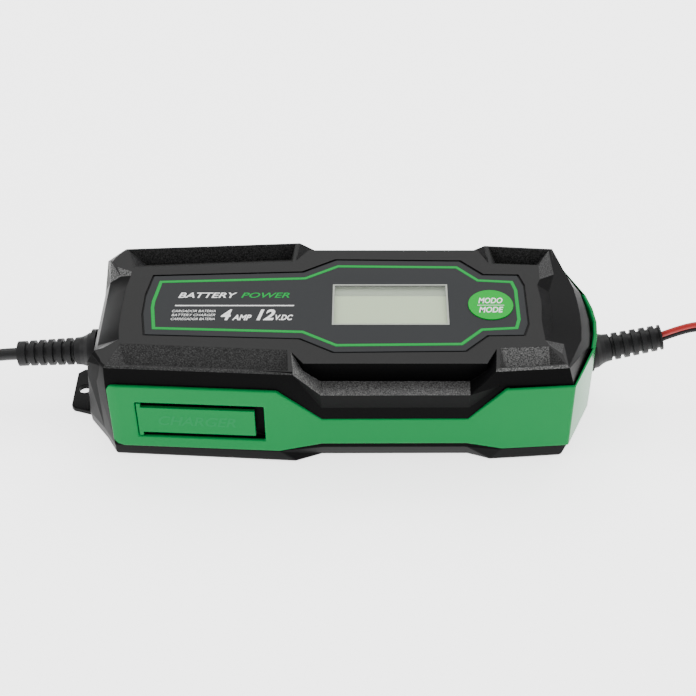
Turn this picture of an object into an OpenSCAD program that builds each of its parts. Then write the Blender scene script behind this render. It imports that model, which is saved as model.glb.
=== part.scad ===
// Portable 12 V car battery charger: clamshell housing with a display, a U-shaped
// side trim with a sprung belt clip, a mains lead and a twin output lead with two clamps.
// Millimetres, +Z up, +X towards the output lead, origin under the middle of the housing.

/* [Housing] */
// Height of the flat top panel above the base
body_h = 47; // [46:0.5:50]
// Height of the joint between the bottom and the top cover
parting_z = 6; // [5.5:0.5:6.5]
// Thickness of the bottom cover's floor
floor_t = 2.2; // [1.6:0.2:2.6]
// Thickness of the side trim
trim_t = 1.6; // [1.2:0.1:2]
// Depth of the shallow recess for the label sheet
label_recess = 0.5; // [0.4:0.1:0.8]

/* [Display and key] */
// Width of the display window
window_w = 45; // [40:1:46]
// Depth of the display window, front to back
window_d = 24; // [20:1:25]
// Radius of the round mode key
key_r = 8.8; // [8:0.1:9]

/* [Mounting ear] */
// Radius of the screw hole in the ear
ear_hole_r = 2.5; // [2:0.1:3]
// Thickness of the ear
ear_t = 2.4; // [2:0.2:3]

/* [Leads] */
// Diameter of the round mains lead
mains_d = 5; // [4.8:0.1:5.2]
// Width of the twin output lead
twin_w = 4.6; // [4.4:0.1:4.8]
// Diameter of each single lead to a clamp
single_d = 2.6; // [2.4:0.1:2.8]

/* [Battery clamps] */
// Width of a clamp, which is its height as it lies on its side
clamp_w = 12; // [12:0.5:13]
// Radius of the clamp's hinge pin
clamp_pin_r = 1.5; // [1.4:0.05:1.6]

/* [Hidden] */

eps = 0.01;
black = [0.17, 0.17, 0.18];
green = [0.05, 0.68, 0.36];
copper = [0.80, 0.45, 0.28];
steel = [0.75, 0.76, 0.78];

// Level rings of the housing. Each lists one side, from the left tip at Y = 0 to the right
// tip, as [x, y, z]; the other side is its mirror image. Point 5 is the left corner, 6 and 7
// are the shoulder down to the narrow middle, 8 and 9 the shoulder back up, 10 the right corner.
base_ring = [[-101.9, 0, 0], [-101.7, -7, 0], [-100.9, -12.6, 0], [-99.4, -17.4, 0],
  [-92.6, -26.5, 0], [-87.4, -35.4, 0], [-17.2, -39.8, 0], [-6.9, -35.8, 0],
  [50.2, -35.6, 0], [59.2, -38.7, 0], [86.6, -36.5, 0], [97.4, -15.3, 0], [99.6, -7.4, 0],
  [100.2, 0, 0]];
foot_ring = [[-102.6, 0, 1.2], [-102.4, -7, 1.2], [-101.6, -12.8, 1.2], [-100, -17.9, 1.2],
  [-93.1, -27, 1.2], [-87.9, -36, 1.2], [-17, -40.5, 1.2], [-6.6, -36.4, 1.2],
  [50, -36.2, 1.2], [59, -39.4, 1.2], [87.4, -37, 1.2], [98.2, -15.5, 1.2], [100.4, -7.5, 1.2],
  [101, 0, 1.2]];
parting_ring = [[-102.8, 0, parting_z], [-102.6, -7, parting_z], [-101.7, -12.8, parting_z],
  [-100.2, -17.9, parting_z], [-93.3, -27, parting_z], [-87.9, -36.3, parting_z],
  [-23.3, -40.1, parting_z], [-6.5, -37.7, parting_z], [49.7, -37.5, parting_z],
  [63.5, -38.9, parting_z], [89, -36.9, parting_z], [98.8, -15.5, parting_z],
  [100.8, -7.5, parting_z], [101.4, 0, parting_z]];
waist_ring = [[-95.9, 0, 34], [-95.9, -9.5, 34], [-96, -18.5, 34], [-96.4, -26.8, 34],
  [-92.7, -30, 34], [-88.3, -36.2, 38.4], [-23.3, -39.7, 38.4], [-6.5, -38.6, 22.2],
  [49.7, -38.4, 22.2], [63.5, -38, 38.4], [88.8, -36.6, 38.4], [97.2, -16, 38.4],
  [98.4, -8, 38.4], [98.9, 0, 38.4]];
brow_ring = [[-95, 0, 38], [-95, -10, 38], [-95, -19, 38], [-95.9, -28, 38],
  [-91.4, -31.5, 38], [-88.2, -36.1, 39.4], [-21, -39.8, 39.4], [-6.5, -39, 28.5],
  [49.7, -38.8, 28.5], [61.8, -38, 39.4], [88.6, -36.5, 39.5], [96.8, -16, 39.4],
  [97.8, -8, 39.2], [98.2, 0, 39.2]];
crest_ring = [[-93, 0, 41.5], [-93, -10, 41.6], [-92.8, -19, 42.3], [-94.9, -30.2, 44.5],
  [-89.6, -34, 45.8], [-88, -35.8, 46.2], [-16.8, -39.8, 46.3], [-6.5, -42.2, 38],
  [49.7, -42, 38], [59, -38, 46.3], [86.8, -36, 46.3], [93.6, -16, 42.6],
  [94.5, -8, 42], [94.8, 0, 41.8]];
ledge_ring = [[-89.2, 0, 44.4], [-89, -10, 44.5], [-88.4, -20, 44.8], [-93.4, -28, 46.4],
  [-89.4, -33.8, 46.6], [-87.8, -35.4, 46.7], [-16.6, -39.4, 46.7], [-6.7, -34.3, 38],
  [49.9, -34.3, 38], [59.1, -37.6, 46.7], [86.4, -35.5, 46.7], [86.2, -21, 45],
  [83.2, -10.5, 44.6], [83.4, 0, 44.4]];
panel_outline = [[-85.1, 0], [-84.9, -10], [-83.9, -20.6], [-92.4, -26.8], [-89, -33.2],
  [-87.3, -34.8], [-16.4, -38.8], [-13, -34.3], [56, -34.3], [59.3, -37], [85.8, -34.8],
  [80.2, -24], [78.6, -12], [79.3, 0]];
panel_ring = [for (p = panel_outline) [p[0], p[1], body_h]];

// Hollow inside the covers, one side from the left tip to the right tip
cavity_side = [[-92.5, -15], [-87.5, -26.5], [-84.5, -31], [-22, -35.2], [-8, -33.6],
  [51, -33.6], [62, -34], [84.5, -31.6], [91.5, -19], [93.5, -10]];
// Room under the top panel, between the edge pockets
upper_room = [[-82, -19], [-20, -21], [-11, -31.5], [54, -31.5], [63, -21.5], [75, -20.5]];
upper_room_z = 36;
roof_t = 2;

// Shallow recess in the top panel, and the green line printed inside it
recess_side = [[-76.9, -6], [-75, -18.2], [-15.3, -20.5], [-2.2, -28.3], [48.8, -27.6],
  [57.6, -18.8], [71.6, -18.5], [73.6, -12]];
label_gap = 0.7;
label_t = 0.4;

window_pos = [20, 0.2];
key_pos = [59.3, -0.4];
display_board_z = 38.6;
main_board_z = 8;
board_t = 1.6;

// Covers' screws: the tall posts of the top cover
post_points = [[-80, 24], [-80, -24], [80, 24], [80, -24]];
post_r = 3.4;
screw_shank_r = 1.4;
screw_head_r = 2.8;
board_post_points = [[-64, 27], [-64, -27], [66, 26], [66, -26]];

display_post_points = [[-14, 15.4], [-14, -15.4], [66, 15.4], [66, -15.4]];

// Strain reliefs: height of the holes, and the faces their flanges seat on
relief_z = 22.8;
relief_hole_r = 4.4;
relief_flange_r = 8.6;
left_seat_x = -97.6;
right_seat_x = 99.4;
left_wall = 5.1;
right_wall = 5.9;
left_flange_h = 1.9;
right_flange_h = 2.6;

// Hinge pins' lower ends: the red clamp lies on the ground, the black one on the coil
red_clamp_pos = [190, -31, 0];
black_clamp_pos = [212, 20, 11.25];
jaw_gap = 0.3;
clamp_side_t = 1.9;

mains_coil_pos = [-197, 9];
mains_coil_in = 18;
mains_coil_out = 38.2;
output_coil_pos = [196, 16];
output_coil_in = 22.4;
output_coil_out = 30.8;
coil_lift = 0.8;

// Routes of the stretches of lead that are not coiled
mains_route = [[-129.5, 0, 20.9], [-136, 0, 20.4], [-143, -0.5, 19.6], [-150, -3, 18.2],
  [-157, -8, 16.2], [-164, -14.5, 13.8], [-171, -21, 11.4], [-178, -25, 9.6], [-185, -26.8, 8.6],
  [-192, -26.1, 8.4]];
plug_route = [[-199, -26.6, 3.3], [-208, -27.4, 3.2], [-217, -28.8, 3.4], [-226, -28.5, 4.5],
  [-234, -24, 6.5], [-238, -16, 9.5], [-238.5, -7, 13], [-236, 0.5, 15.6], [-231, 5.5, 16.9],
  [-224, 7.6, 16.6], [-217, 8, 16.2]];
output_route = [[128.9, 2.6, 27.6], [133, 3.1, 29.2], [137.5, 3.7, 30.6], [142, 4.2, 31.5],
  [147, 4.3, 31.6], [152, 3.7, 30.5], [157, 2.2, 27.8], [161.5, 0, 23.8], [165.5, -2.7, 19.2],
  [170, -6, 14.8], [175.5, -9.3, 11.2], [182, -11.8, 9], [189, -12.6, 8.2]];
split_route = [[199, -13.1, 3.2], [204, -14.6, 3], [209, -15.4, 2.8], [214, -14, 2.6], [219, -11, 2.6]];
red_route = [[230, -12.4, 2.2], [236, -12.2, 1.8], [243, -9.5, 1.4], [250, -4.5, 1.4],
  [257, -3.5, 1.4], [262.5, -8, 1.4], [264, -16, 1.4], [263, -25, 1.4], [259, -33, 1.4],
  [252, -37.5, 1.4], [244.5, -36.5, 1.4], [241, -31, 1.5], [241.5, -24.5, 2.2],
  [240.5, -19.8, 3.8], [236.5, -17.6, 5.3], [231.3, -17.3, 6]];
black_route = [[230, -9.6, 2.2], [235.5, -5, 1.8], [238, 3, 1.4], [240, 12, 1.4], [246.5, 17.5, 1.4],
  [253.5, 15, 1.4], [260, 11, 1.4], [266, 14.5, 1.4], [268, 22, 2.4], [266.5, 29.5, 6.4],
  [263, 34, 12], [258.5, 34.4, 16.4], [253.3, 33.7, 17.25]];

// A point on the other side of the middle plane
function across(p) = len(p) == 3 ? [p[0], -p[1], p[2]] : [p[0], -p[1]];
// A closed loop from one side's points: ends that lie on the middle plane are used once
function loop(side) = concat(side,
  [for (i = [len(side) - 1:-1:0]) if (abs(side[i][1]) > eps) across(side[i])]);
// The same side outline moved outwards by d
function grown(side, d) = [for (p = side) [p[0] + sign(p[0]) * d, p[1] + sign(p[1]) * d]];

// A ring carried on to another level along the lines from the ring before it
function carried(before, ring, z) = [for (i = [0:len(ring) - 1])
  before[i] + (ring[i] - before[i]) * (z - before[i][2]) / (ring[i][2] - before[i][2])];

// Solid skin over a stack of rings with the same number of points, listed upwards
module ring_skin(rings) {
  n = len(rings[0]);
  m = len(rings);
  points = [for (r = rings) for (p = r) p];
  walls = [for (k = [0:m - 2]) for (i = [0:n - 1]) for (t = [0, 1])
    let (a = k * n + i, b = k * n + (i + 1) % n)
    t == 0 ? [a, a + n, b] : [b, a + n, b + n]];
  first = [for (i = [0:n - 1]) i];
  last = [for (i = [n - 1:-1:0]) (m - 1) * n + i];
  polyhedron(points, concat([first], [last], walls), convexity = 10);
}

// Tube along a route: rings square to the route, joined by a skin
function unit(v) = v / norm(v);
function heading(route, i) = unit(route[min(i + 1, len(route) - 1)] - route[max(i - 1, 0)]);
function side_of(h) = unit(cross(h, [0, 0, 1]));
function tube_ring(p, h, rx, rz, sides) = [for (k = [0:sides - 1])
  let (a = 360 * k / sides, s = side_of(h), u = cross(s, h))
  p + s * rx * cos(a) + u * rz * sin(a)];
module tube(route, rx, rz, sides = 10) {
  ring_skin([for (i = [0:len(route) - 1]) tube_ring(route[i], heading(route, i), rx, rz, sides)]);
}

// Slab of the given outline
module slab(outline, z0, z1) {
  translate([0, 0, z0]) linear_extrude(height = z1 - z0) polygon(outline);
}
module post(p, r, z0, z1) {
  translate([p[0], p[1], z0]) cylinder(r = r, h = z1 - z0, $fn = 32);
}
module block(centre, size) {
  translate([centre[0] - size[0] / 2, centre[1] - size[1] / 2, centre[2]]) cube(size);
}

// ---- housing ----

// Stacks of rings, carried on past the flat faces that cut them off
over = 1;
top_rings = [parting_ring, waist_ring, brow_ring, crest_ring, ledge_ring,
  carried(ledge_ring, panel_ring, body_h + over)];
bottom_rings = [carried(foot_ring, base_ring, -over), foot_ring, parting_ring];
module layer(z) {
  translate([-150, -60, z]) cube([300, 120, 2 * over]);
}

// Wedge-shaped pocket in the top panel: it slopes down from the panel's edge line
// and stops at the rim. Points are the pocket's four corners at panel height and the
// two ends of its deepest line.
pocket_z = 40.2;
module edge_pocket(inner_a, inner_b, rim_b, rim_a, deep_a, deep_b) {
  up = body_h + eps;
  hull() {
    slab([inner_a, inner_b, rim_b, rim_a], body_h - eps, up);
    translate([deep_a[0], deep_a[1], pocket_z]) cube(0.02);
    translate([deep_b[0], deep_b[1], pocket_z]) cube(0.02);
  }
}
module left_pocket() {
  edge_pocket([-83.2, -23], [-19.4, -26.8], [-18.6, -38.2], [-86.8, -34.4],
    [-80, -33], [-20.6, -36.6]);
}
module right_pocket() {
  edge_pocket([61.6, -25.4], [80, -24.6], [85.3, -34.3], [60.6, -36.4],
    [63.8, -34.2], [80.4, -33]);
}

// Height at p of the plane through the points a, b and c
function plane_z(p, a, b, c) = let (n = cross(b - a, c - a))
  a[2] - (n[0] * (p[0] - a[0]) + n[1] * (p[1] - a[1])) / n[2];
// Everything above a sloping plane inside an outline: the ramps down to the low middle shelf.
// The outline starts at its one inward corner and runs out past the side face.
module ramp_cut(outline, a, b, c) {
  ring_skin([[for (p = outline) [p[0], p[1], plane_z(p, a, b, c)]],
    [for (p = outline) [p[0], p[1], body_h + over]]]);
}
module left_ramp() {
  ramp_cut([[-13, -34.3], [-18, -27.5], [-16.5, -42.8], [-6.4, -44.7], [-6.7, -34.3]],
    crest_ring[6], crest_ring[7], ledge_ring[7]);
}
module right_ramp() {
  ramp_cut([[56, -34.3], [49.9, -34.3], [49.6, -44.7], [58.8, -41], [60, -26]],
    crest_ring[9], crest_ring[8], ledge_ring[8]);
}

// Side trim: cross-sections [x, y, bottom z, top z, inward direction] along one side
trim_side = [[-88.3, -36.6, 9.5, 36, [0.5, 1]], [-86.8, -36.9, 6.9, 38.1, [0.2, 1]],
  [-84, -37.6, 6.4, 38.4, [0, 1]], [-23.3, -40.8, 6.4, 38.4, [0, 1]],
  [-6.5, -38.9, 8.6, 22.2, [0, 1]], [49.7, -38.7, 8.6, 22.2, [0, 1]],
  [63.5, -39.5, 6.4, 38.4, [0, 1]], [89.6, -37.6, 6.4, 38.4, [-0.45, 0.9]],
  [99.4, -16, 6.4, 38.4, [-0.95, 0.3]], [101.2, -8, 6.4, 38.4, [-1, 0.15]],
  [101.9, 0, 6.4, 38.4, [-1, 0]]];
function trim_point(s, z, depth) = [s[0] + s[4][0] * depth, s[1] + s[4][1] * depth, z];
function trim_ring(s, depth) = [trim_point(s, s[2], 0), trim_point(s, s[3], 0),
  trim_point(s, s[3], depth), trim_point(s, s[2], depth)];
function flip_ring(r) = [for (p = r) across(p)];
trim_gap = 0.05;
module trim_loft(depth) {
  near = [for (s = trim_side) trim_ring(s, depth)];
  far = [for (i = [len(near) - 2:-1:0]) flip_ring(near[i])];
  ring_skin([for (r = concat(near, far)) [r[0], r[3], r[2], r[1]]]);
}

// The clip lies in a window of the trim's front face, which tapers in plan: its own frame
// starts at the hinge end, with X along the face and Y = 0 on the face
clip_hinge = [-77.4, -37.95];
clip_turn = -3.02;
clip_len = 45.4;
clip_z0 = 14.4;
clip_z1 = 27.6;
clip_window_z = 12.2;
clip_window_h = 17.8;
module on_clip_face() {
  translate([clip_hinge[0], clip_hinge[1], 0]) rotate([0, 0, clip_turn]) children();
}
module clip_window(depth) {
  on_clip_face() translate([-0.4, -3, clip_window_z]) cube([49.4, depth + 3, clip_window_h]);
}

// Round hole for a strain relief, and the sunk seat of its flange
module relief_hole(seat_x, outward) {
  translate([seat_x, 0, relief_z]) rotate([0, 90 * outward, 0]) {
    translate([0, 0, -12]) cylinder(r = relief_hole_r, h = 24, $fn = 48);
    cylinder(r = relief_flange_r + 0.1, h = 12, $fn = 48);
  }
}

module top_cover() {
  color(black) difference() {
    union() {
      difference() {
        ring_skin([for (r = top_rings) loop(r)]);
        layer(body_h);
        trim_loft(trim_t + trim_gap);
        slab(loop(cavity_side), parting_z - 1, upper_room_z);
        slab(loop(upper_room), upper_room_z - 1, body_h - roof_t);
      }
      for (p = post_points) post(p, post_r, parting_z, upper_room_z + 1);
      for (p = display_post_points) post(p, 2.2, display_board_z + board_t, body_h - roof_t + 1);
    }
    for (m = [0, 1]) mirror([0, m, 0]) {
      left_pocket();
      right_pocket();
      left_ramp();
      right_ramp();
    }
    slab(loop(recess_side), body_h - label_recess, body_h + 1);
    block([window_pos[0], window_pos[1], body_h - 5], [window_w + 1, window_d + 1, 10]);
    post(key_pos, key_r + 0.1, body_h - 5, body_h + 1);
    relief_hole(left_seat_x, -1);
    relief_hole(right_seat_x, 1);
    clip_window(3.2);
    for (p = post_points) post(p, screw_shank_r, parting_z - 1, parting_z + 12);
    for (p = display_post_points) post(p, 0.9, display_board_z, body_h - roof_t - 0.5);
  }
}

module bottom_cover() {
  color(black) difference() {
    union() {
      difference() {
        union() {
          ring_skin([for (r = bottom_rings) loop(r)]);
          slab([[-100, -14.6], [-108.2, -12], [-109.4, -10.6], [-109.4, 8.6], [-107.4, 10.4],
            [-100, 13.6]], -over, ear_t);
        }
        layer(-2 * over);
        slab(loop(cavity_side), floor_t, parting_z + 1);
        slab(loop(grown(cavity_side, 1.9)), parting_z - 0.8, parting_z + 1);
      }
      for (p = post_points) post(p, post_r, floor_t - 1, parting_z);
      for (p = board_post_points) post(p, 3, floor_t - 1, main_board_z);
    }
    post([-105.3, -1], ear_hole_r, -1, ear_t + 1);
    for (p = post_points) {
      post(p, screw_shank_r + 0.3, -1, parting_z + 1);
      post(p, screw_head_r + 0.3, -1, 1.2);
    }
    for (p = board_post_points) post(p, 1, floor_t + 1, main_board_z + 1);
  }
}

module cover_gasket() {
  color([0.1, 0.1, 0.1]) difference() {
    slab(loop(grown(cavity_side, 1.8)), parting_z - 0.8, parting_z);
    slab(loop(grown(cavity_side, 0.3)), parting_z - 1, parting_z + 1);
  }
}

module side_trim() {
  color(green) difference() {
    trim_loft(trim_t);
    clip_window(trim_t + 1);
    relief_hole(right_seat_x, 1);
  }
}

// Sprung clip: a tongue with a wider root at its left end, free at its right end
module belt_clip() {
  color(green) {
    on_clip_face() {
      translate([0, 0.1, clip_z0]) cube([clip_len, 1.5, clip_z1 - clip_z0]);
      translate([0, 0.1, clip_window_z + 0.4]) cube([1.6, 1.5, clip_window_h - 0.8]);
    }
  }
}

module label_sheet() {
  z0 = body_h - label_recess;
  color([0.3, 0.31, 0.32]) difference() {
    slab(loop(grown(recess_side, -label_gap)), z0, z0 + label_t);
    block([window_pos[0], window_pos[1], z0 - 1], [window_w, window_d, 4]);
    post(key_pos, key_r + 0.1, z0 - 1, z0 + 4);
  }
}

// ---- display ----

module window_lens() {
  color([0.8, 0.85, 0.8, 0.4])
    block([window_pos[0], window_pos[1], body_h - label_recess - 1.1],
      [window_w - 0.2, window_d - 0.2, 1.5]);
}
module lcd_panel() {
  color([0.77, 0.81, 0.74])
    block([window_pos[0], window_pos[1], body_h - 3.8], [window_w + 0.6, window_d + 0.6, 2.1]);
}
module lcd_frame() {
  color([0.9, 0.9, 0.88]) difference() {
    block([window_pos[0], window_pos[1], display_board_z + board_t], [window_w + 5, window_d + 5, 4.6]);
    block([window_pos[0], window_pos[1], body_h - 3.8], [window_w + 0.6, window_d + 0.6, 5]);
  }
}
module mode_key() {
  color([0.16, 0.78, 0.31]) {
    post(key_pos, key_r, body_h - 2.9, body_h + 0.3);
    post(key_pos, key_r + 0.9, body_h - 2.9, body_h - roof_t - 0.1);
    post(key_pos, 2, body_h - 4, body_h - 2);
  }
}
module key_switch() {
  color([0.2, 0.2, 0.2]) {
    block([key_pos[0], key_pos[1], display_board_z + board_t], [6, 6, 1.6]);
    post(key_pos, 1.6, display_board_z + board_t, body_h - 4.6);
  }
}
module display_board() {
  color([0.1, 0.4, 0.2]) difference() {
    block([26, 0, display_board_z], [88, 36, board_t]);
    for (p = display_post_points) post(p, 1.1, display_board_z - 1, display_board_z + board_t + 1);
  }
}
module display_screws() {
  color(steel) for (p = display_post_points) {
    post(p, 0.9, display_board_z - 0.5, body_h - 3);
    post(p, 1.9, display_board_z - 1.3, display_board_z);
  }
}
module board_link() {
  color([0.8, 0.8, 0.75])
    block([-12, 0, main_board_z + board_t], [2.5, 16, display_board_z - main_board_z - board_t]);
}

// ---- power electronics ----

board_top = main_board_z + board_t;
module main_board() {
  color([0.1, 0.4, 0.2]) difference() {
    slab([[-74, -30], [72, -30], [72, 30], [-74, 30]], main_board_z, board_top);
    for (p = board_post_points) post(p, 1.6, main_board_z - 1, board_top + 1);
  }
}
module transformer_core() {
  color([0.15, 0.15, 0.16]) difference() {
    block([0, 0, board_top], [20, 34, 24]);
    block([0, 0, board_top + 4], [21, 24, 16]);
  }
}
module transformer_coil() {
  color([0.9, 0.75, 0.2])
    block([0, 0, board_top + 4], [19, 23.8, 15.8]);
}
module bulk_capacitor() {
  color([0.1, 0.1, 0.25]) post([-34, 12], 9, board_top, board_top + 25);
}
module output_capacitors() {
  color([0.1, 0.1, 0.25]) for (y = [-14, 0, 14]) post([17, y], 5, board_top, board_top + 20);
}
module filter_capacitor() {
  color([0.85, 0.7, 0.1]) block([-54, 12, board_top], [9, 18, 15]);
}
module mains_fuse() {
  color([0.9, 0.9, 0.85]) {
    translate([-58, -16, board_top + 3]) rotate([0, 90, 0]) cylinder(r = 2.6, h = 20, $fn = 32);
    for (x = [-56, -40]) block([x, -16, board_top], [3, 6, 3]);
  }
}
module bridge_rectifier() {
  color([0.12, 0.12, 0.12]) block([-26, -12, board_top], [4, 18, 14]);
}
module heat_sink() {
  color([0.7, 0.71, 0.73]) {
    block([40, 24.5, board_top], [40, 2, 24]);
    for (k = [0:6]) block([22.5 + 5.8 * k, 22, board_top], [1.4, 5, 24]);
  }
}
module switching_transistor() {
  color([0.12, 0.12, 0.12]) block([40, 27.6, board_top + 2], [10, 4, 16]);
}
module output_choke() {
  color(copper) translate([38, 3, board_top])
    rotate_extrude($fn = 48) translate([7.5, 4.2]) circle(r = 4.2, $fn = 32);
}
module output_relay() {
  color([0.15, 0.2, 0.4]) block([56, -16, board_top], [18, 14, 15]);
}
module mains_wires() {
  route = [[-90, 0, relief_z], [-88, 0, 22.4], [-85, 0, 18], [-81, 0, 13], [-76, 0, 11.2], [-71, 0, 10.8]];
  color([0.35, 0.2, 0.1]) for (y = [-3, 3])
    tube([for (p = route) [p[0], y, p[2]]], 1.2, 1.2, 8);
}
module output_wires() {
  route = [[91, 0, relief_z], [89, 0, 22.4], [86, 0, 18.5], [81, 0, 13.5], [76, 0, 11.2], [70, 0, 10.8]];
  color([0.7, 0.1, 0.1]) for (y = [-3, 3])
    tube([for (p = route) [p[0], y, p[2]]], 1.2, 1.2, 8);
}
module cover_screws() {
  color(steel) for (p = post_points) {
    post(p, screw_shank_r, 1, 14);
    difference() {
      post(p, screw_head_r, 0.2, 1.2);
      block([p[0], p[1], 0], [3, 0.6, 0.6]);
      block([p[0], p[1], 0], [0.6, 3, 0.6]);
    }
  }
}
module board_screws() {
  color(steel) for (p = board_post_points) {
    post(p, 0.99, floor_t + 2, board_top);
    post(p, 2.6, board_top, board_top + 1.6);
  }
}

// ---- strain reliefs and leads ----

// Strain relief, +X outwards from its seat: inner collar, shank through the wall and flange
// are square to the wall; the flared, ribbed tail leaves at its own angles
module relief_disc(x, r, h) {
  translate([x, 0, 0]) rotate([0, 90, 0]) cylinder(r = r, h = h, $fn = 48);
}
module relief_tail(length) {
  rotate([0, 90, 0]) rotate_extrude($fn = 48) polygon([[0, -1], [7.4, -1], [7.2, 1], [6.3, 2.6],
    [5.7, 4.4], [5.5, 6.6], [4.2, 7.2], [4.1, length], [0, length]]);
  for (k = [0:5]) relief_disc(8.2 + 3.7 * k, 5.5 - 0.08 * k, k == 5 ? length - 26.7 : 2);
}
module strain_relief(wall, flange_h, yaw, pitch, length) {
  relief_disc(-wall - 2.5, 6, 2.5);
  relief_disc(-wall - 1, relief_hole_r, wall + 2);
  relief_disc(0, relief_flange_r, flange_h);
  translate([flange_h, 0, 0]) rotate([0, 0, yaw]) rotate([0, -pitch, 0]) relief_tail(length);
}
module mains_strain_relief() {
  color(black) translate([left_seat_x, 0, relief_z]) rotate([0, 0, 180])
    strain_relief(left_wall, left_flange_h, 0, -3.6, 30);
}
module output_strain_relief() {
  color(black) translate([right_seat_x, 0, relief_z])
    strain_relief(right_wall, right_flange_h, 5.5, 10, 27.5);
}
module mains_lead() {
  color(black) {
    tube(mains_route, mains_d / 2, mains_d / 2);
    tube(plug_route, mains_d / 2, mains_d / 2);
  }
}
module coil_ring(pos, r_in, r_out, h) {
  translate([pos[0], pos[1], coil_lift]) rotate_extrude($fn = 72)
    polygon([[r_in, 1], [r_in + 1, 0], [r_out - 1, 0], [r_out, 1],
      [r_out, h - 1], [r_out - 1, h], [r_in + 1, h], [r_in, h - 1]]);
}
module tie_frame(pos, r_in, r_out, h) {
  translate([pos[0], pos[1], 0]) difference() {
    translate([r_in - 1, -3, 0]) cube([r_out - r_in + 2, 6, h + coil_lift + 0.8]);
    translate([r_in - 0.3, -4, coil_lift - 0.05]) cube([r_out - r_in + 0.6, 8, h + 0.1]);
  }
}
mains_coil_h = 2 * mains_d + 0.2;
output_coil_h = 2 * twin_w + 0.4;
module mains_coil() {
  color(black) coil_ring(mains_coil_pos, mains_coil_in, mains_coil_out, mains_coil_h);
}
module output_coil() {
  color([0.6, 0.1, 0.1]) coil_ring(output_coil_pos, output_coil_in, output_coil_out, output_coil_h);
}
module mains_tie() {
  color([0.12, 0.12, 0.12]) tie_frame(mains_coil_pos, mains_coil_in, mains_coil_out, mains_coil_h);
}
module output_tie() {
  color([0.12, 0.12, 0.12]) tie_frame(output_coil_pos, output_coil_in, output_coil_out, output_coil_h);
}
// Two-pin mains plug, lying flat on the coil, pins towards +X
plug_pos = [-209, 8, 11.02];
module plug_body() {
  color(black) translate(plug_pos) {
    translate([-8, 0, 5.2]) rotate([0, 90, 0]) cylinder(r1 = 3.2, r2 = 4, h = 10, $fn = 32);
    slab([[1, -5], [8, -9], [26, -13], [27, -12], [27, 12], [26, 13], [8, 9], [1, 5]], 0, 10.4);
  }
}
module plug_pins() {
  color(copper) for (y = [-9.3, 9.3]) translate(plug_pos + [22, y, 5.2])
    rotate([0, 90, 0]) cylinder(r = 2, h = 24, $fn = 32);
}
module output_lead() {
  color([0.6, 0.1, 0.1]) {
    tube(output_route, twin_w / 4, twin_w / 2, 8);
    tube(split_route, twin_w / 4, twin_w / 2, 8);
  }
}
module lead_splitter() {
  color(black) translate([219, -14, 0]) cube([11, 6, 5]);
}
module red_branch() {
  color([0.7, 0.08, 0.08]) tube(red_route, single_d / 2, single_d / 2, 8);
}
module black_branch() {
  color(black) tube(black_route, single_d / 2, single_d / 2, 8);
}

// ---- battery clamps: they lie on one side, with the hinge pin upright ----

jaw_outline = [[5, jaw_gap + 0.2], [20, 2.6], [28, jaw_gap + 0.6], [34, jaw_gap + 0.6],
  [34, 4], [28, 7.2], [16, 9], [2, 8.4], [-8, 8], [-26, 13], [-41, 15], [-41.5, 12.4],
  [-26, 10.4], [-8, 4.6], [-5, 2]];
hinge_ear_r = 5;
module jaw_shell(own_ears) {
  z_in = clamp_side_t;
  z_out = clamp_w - clamp_side_t;
  difference() {
    slab(jaw_outline, 0, clamp_w);
    slab([[8, 0], [14, 0], [26, 4.6], [16, 7.2], [2, 6.6], [-8, 6.2], [-26, 11.2], [-38, 12.8],
      [-38, 8], [-26, 8], [-8, 2.8], [2, 0]], z_in, z_out);
    if (own_ears == "outer")
      post([0, 0], hinge_ear_r + 0.4, z_in, z_out);
    else {
      post([0, 0], hinge_ear_r + 0.4, -1, z_in + 0.4);
      post([0, 0], hinge_ear_r + 0.4, z_out - 0.4, clamp_w + 1);
    }
  }
  levels = own_ears == "outer" ? [[0, z_in], [z_out, clamp_w]]
    : [[z_in + 0.4, z_in + 1.9], [z_out - 1.9, z_out - 0.4]];
  for (l = levels) difference() {
    union() {
      post([0, 0], hinge_ear_r, l[0], l[1]);
      slab([[-4, 2], [4, 2], [4, 8], [-4, 8]], l[0], l[1]);
    }
    post([0, 0], clamp_pin_r + (own_ears == "outer" ? 0 : 0.06), l[0] - 1, l[1] + 1);
  }
}
module place_clamp(pos) {
  translate(pos) mirror([1, 0, 0]) children();
}
module clamp_pin() {
  post([0, 0], clamp_pin_r, 0, clamp_w);
}
module clamp_spring() {
  translate([0, 0, clamp_side_t + 2.4]) difference() {
    cylinder(r = 3.6, h = clamp_w - 2 * clamp_side_t - 4.8, $fn = 40);
    translate([0, 0, -1]) cylinder(r = clamp_pin_r + 0.4, h = clamp_w, $fn = 40);
  }
}
module clamp_contact() {
  difference() {
    slab([[27, jaw_gap / 2 + 0.05], [33.8, jaw_gap / 2 + 0.05], [33.8, jaw_gap + 0.6],
      [27, jaw_gap + 0.6]], 1.5, clamp_w - 1.5);
    for (k = [0:3]) translate([28.2 + 1.5 * k, 0, 0]) cylinder(r = 0.45, h = clamp_w, $fn = 16);
  }
}
red = [0.78, 0.1, 0.1];
module red_clamp_fixed_jaw() {
  color(red) place_clamp(red_clamp_pos) jaw_shell("outer");
}
module red_clamp_moving_jaw() {
  color(red) place_clamp(red_clamp_pos) mirror([0, 1, 0]) jaw_shell("inner");
}
module red_clamp_pin() {
  color(steel) place_clamp(red_clamp_pos) clamp_pin();
}
module red_clamp_spring() {
  color(steel) place_clamp(red_clamp_pos) clamp_spring();
}
module red_clamp_fixed_contact() {
  color(copper) place_clamp(red_clamp_pos) clamp_contact();
}
module red_clamp_moving_contact() {
  color(copper) place_clamp(red_clamp_pos) mirror([0, 1, 0]) clamp_contact();
}
module black_clamp_fixed_jaw() {
  color(black) place_clamp(black_clamp_pos) jaw_shell("outer");
}
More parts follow.
